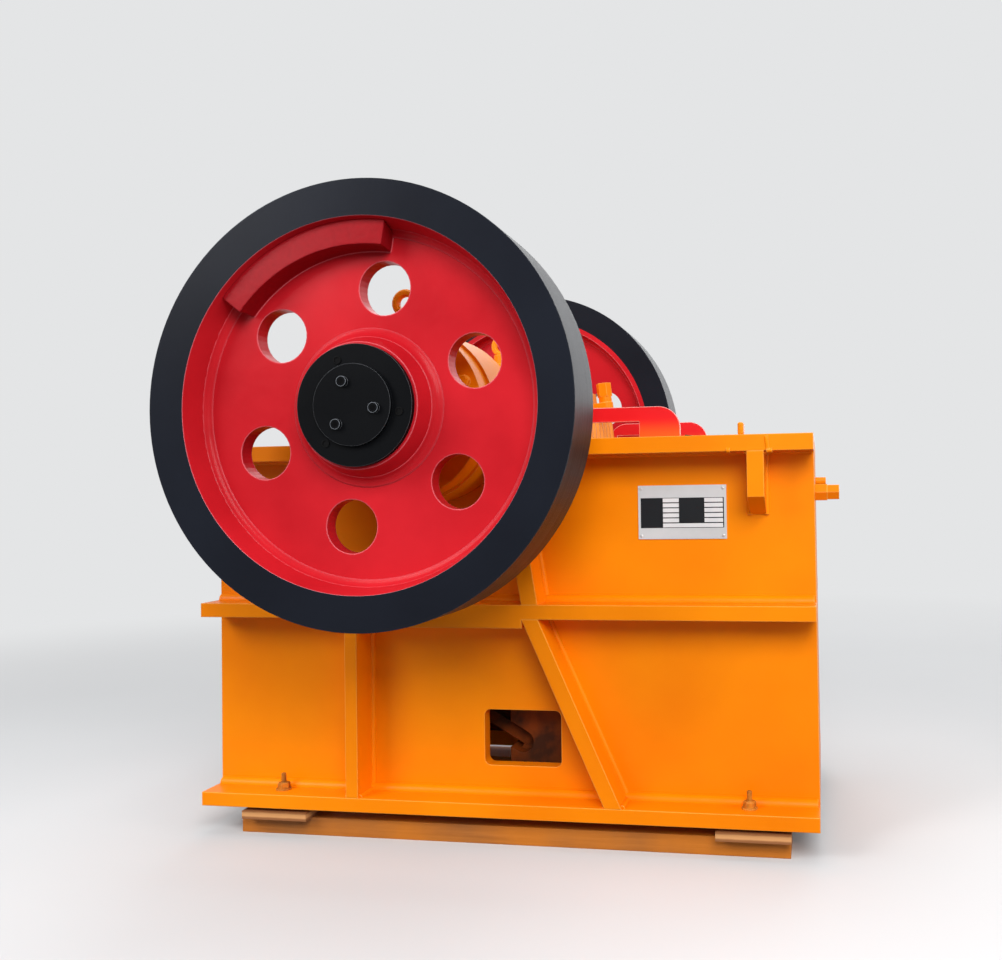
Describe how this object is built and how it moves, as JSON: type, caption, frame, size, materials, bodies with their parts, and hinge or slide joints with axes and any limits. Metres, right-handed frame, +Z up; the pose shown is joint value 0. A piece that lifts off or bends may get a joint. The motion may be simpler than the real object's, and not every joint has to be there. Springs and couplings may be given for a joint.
{
  "type": "jaw crusher",
  "caption": "Single-toggle jaw crusher with a welded ribbed frame, two spoked balance wheels on an eccentric shaft, toothed jaw plates and a timber shipping skid.",
  "frame": {"origin": "the middle of the footprint, on the surface that the skid beams stand on", "axes": "+X towards the front wall and feed end, +Y to the far side, along the shaft, +Z up"},
  "size_m": [1.432, 1.31, 1.361],
  "materials": {
    "orange_paint": "semi-gloss",
    "red_paint": "semi-gloss",
    "black_paint": "satin",
    "manganese_steel": "as cast",
    "turned_steel": "turned",
    "spring_steel": "dark",
    "plate_aluminium": "satin",
    "beam_wood": "painted, worn",
    "plank_wood": "sawn",
    "pad_rubber": "matt"
  },
  "bodies": {
    "frame": {"side_plate_near": "orange_paint", "side_plate_far": "orange_paint", "front_wall": "orange_paint", "fixed_jaw_seat": "orange_paint", "front_ribs": "orange_paint", "rear_wall": "orange_paint", "rear_ties": "orange_paint", "base_flange_near": "orange_paint", "base_flange_far": "orange_paint", "middle_flange_near": "orange_paint", "middle_flange_far": "orange_paint", "top_flange_near": "orange_paint", "top_flange_far": "orange_paint", "vertical_ribs": "orange_paint", "diagonal_ribs": "orange_paint", "top_gussets": "orange_paint", "bearing_housing_near": "orange_paint", "bearing_housing_far": "orange_paint", "bearing_cover_near": "orange_paint", "bearing_cover_far": "orange_paint", "lifting_eyes": "orange_paint", "fixed_jaw_plate": "manganese_steel", "swing_jaw_plate": "manganese_steel", "cheek_plates": "manganese_steel", "toggle_plate": "orange_paint", "toggle_seats": "manganese_steel", "adjusting_block": "orange_paint", "swing_jaw": "orange_paint", "jaw_clamp": "orange_paint", "tension_rod": "spring_steel", "tension_spring": "spring_steel", "guard_plates": "red_paint", "wall_studs": "orange_paint", "nameplate": "plate_aluminium", "skid_beams": "beam_wood", "skid_planks": "plank_wood", "skid_pads": "pad_rubber"},
    "rotor": {"flywheel_rim_near": "black_paint", "flywheel_rim_far": "black_paint", "flywheel_near": "red_paint", "flywheel_far": "red_paint", "lock_rings": "black_paint", "end_caps": "black_paint", "eccentric_shaft": "turned_steel"}
  },
  "joints": [
    {"name": "shaft_spin", "type": "hinge", "parent": "frame", "child": "rotor", "pos_m": [-0.18802, 0, 0.931], "axis": [0, 1, 0], "continuous": true}
  ]
}
